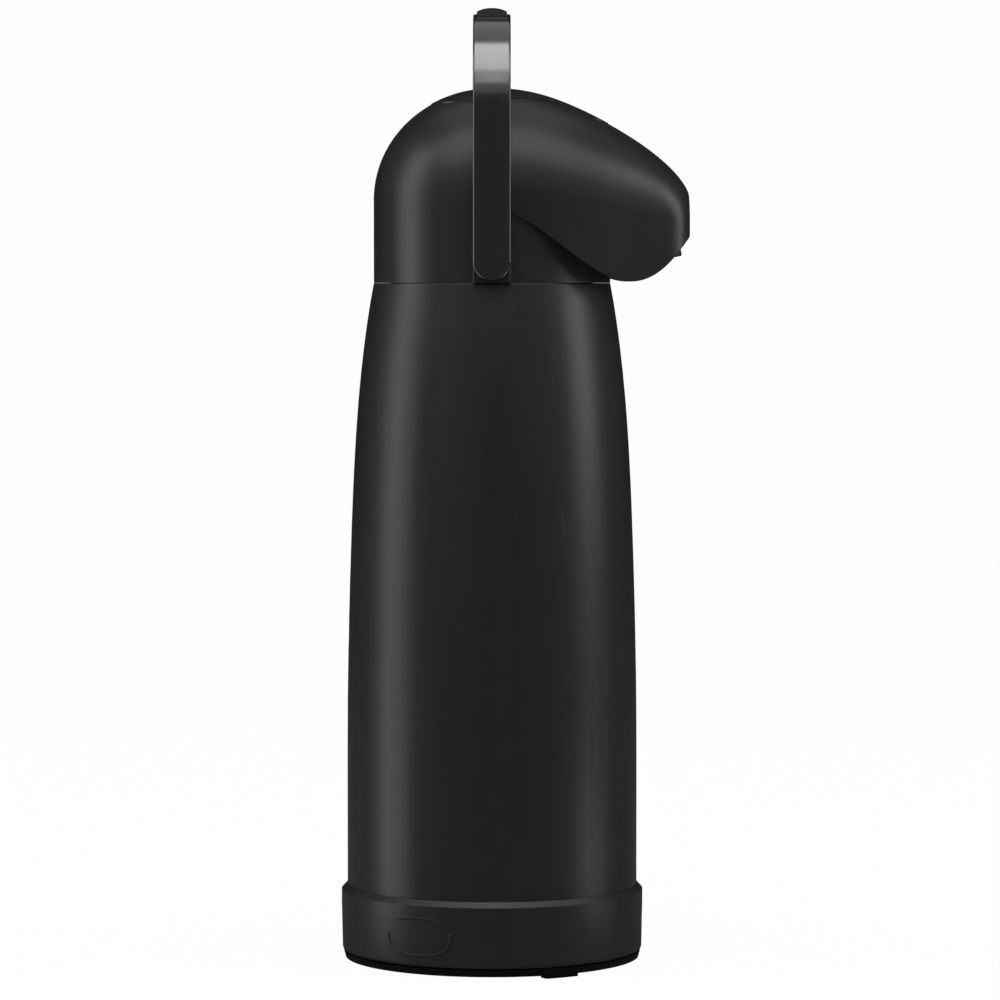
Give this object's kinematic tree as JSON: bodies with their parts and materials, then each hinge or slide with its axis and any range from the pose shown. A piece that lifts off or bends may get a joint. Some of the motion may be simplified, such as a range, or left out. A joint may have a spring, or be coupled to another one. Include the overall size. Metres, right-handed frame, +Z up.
{
  "type": "airpot",
  "caption": "Pump vacuum flask with a tapering body, a beaked pump head with a press key, an upright carrying bail and a swivelling foot.",
  "frame": {"origin": "on the body's axis, at the surface the foot pads stand on", "axes": "+Z up along the body's axis, +X towards the spout, +Y to the left of the spout"},
  "size_m": [0.1526, 0.1328, 0.4181],
  "materials": {
    "shell_plastic": "moulded, semi gloss",
    "base_plastic": "moulded, satin",
    "foot_plastic": "moulded, matt",
    "head_plastic": "moulded, semi gloss",
    "key_plastic": "moulded, semi gloss",
    "bail_plastic": "moulded, semi gloss",
    "grip_plastic": "moulded, satin",
    "nozzle_plastic": "moulded, satin",
    "inner_plastic": "moulded, natural white",
    "tube_plastic": "extruded, milky",
    "glide_plastic": "moulded, waxy white",
    "pad_rubber": "moulded, matt",
    "seal_rubber": "silicone, pale grey",
    "hose_rubber": "silicone, milky",
    "spacer_felt": "pressed pads",
    "refill_glass": "silvered blown glass",
    "steel": "stainless"
  },
  "bodies": {
    "pot": {"body_shell": "shell_plastic", "base_cup": "base_plastic", "swivel_screw": "steel", "swivel_washer": "glide_plastic", "swivel_glide": "glide_plastic", "flask_outer_wall": "refill_glass", "flask_inner_wall": "refill_glass", "flask_spacers": "spacer_felt", "flask_cushion": "pad_rubber", "neck_gasket": "seal_rubber", "mouth_ring": "inner_plastic"},
    "foot": {"swivel_disc": "foot_plastic", "foot_pads": "pad_rubber"},
    "head": {"head_shell": "head_plastic", "head_base": "inner_plastic", "head_screws": "steel", "stopper": "inner_plastic", "tube_socket": "inner_plastic", "stopper_gasket": "seal_rubber", "siphon_tube": "tube_plastic", "outlet_hose": "hose_rubber", "nozzle": "nozzle_plastic", "pump_frame": "inner_plastic", "air_duct": "tube_plastic", "bellows": "hose_rubber", "return_spring": "steel", "key_pin": "steel"},
    "key": {"pump_key": "key_plastic"},
    "plunger": {"push_plate": "inner_plastic", "valve_flap": "seal_rubber"},
    "ball": {"check_ball": "steel"},
    "bail": {"bail_handle": "bail_plastic", "bail_pins": "bail_plastic", "bail_grip": "grip_plastic"}
  },
  "joints": [
    {"name": "base_swivel", "type": "hinge", "parent": "pot", "child": "foot", "pos_m": [0, 0, 0], "axis": [0, 0, 1], "continuous": true},
    {"name": "head_lift", "type": "slide", "parent": "pot", "child": "head", "axis": [0, 0, 1], "range_m": [0, 0.3]},
    {"name": "handle_swing", "type": "hinge", "parent": "head", "child": "bail", "pos_m": [0, 0, 0.30785], "axis": [0, 1, 0], "range_deg": [-130, 130]},
    {"name": "key_press", "type": "hinge", "parent": "head", "child": "key", "pos_m": [0.044, 0, 0.3632], "axis": [0, -1, 0], "range_deg": [0, 15], "stiffness_Nm_per_rad": 1.1, "springref_deg": -17.19},
    {"name": "plunger_press", "type": "slide", "parent": "head", "child": "plunger", "axis": [0, 0, -1], "range_m": [0, 0.0114], "deforming": ["bellows", "return_spring"]},
    {"name": "ball_lift", "type": "slide", "parent": "head", "child": "ball", "axis": [0, 0, 1], "range_m": [0, 0.004]}
  ],
  "couplings": [
    {"joint": "plunger_press", "follows": "key_press", "m_per_rad": 0.04324}
  ]
}
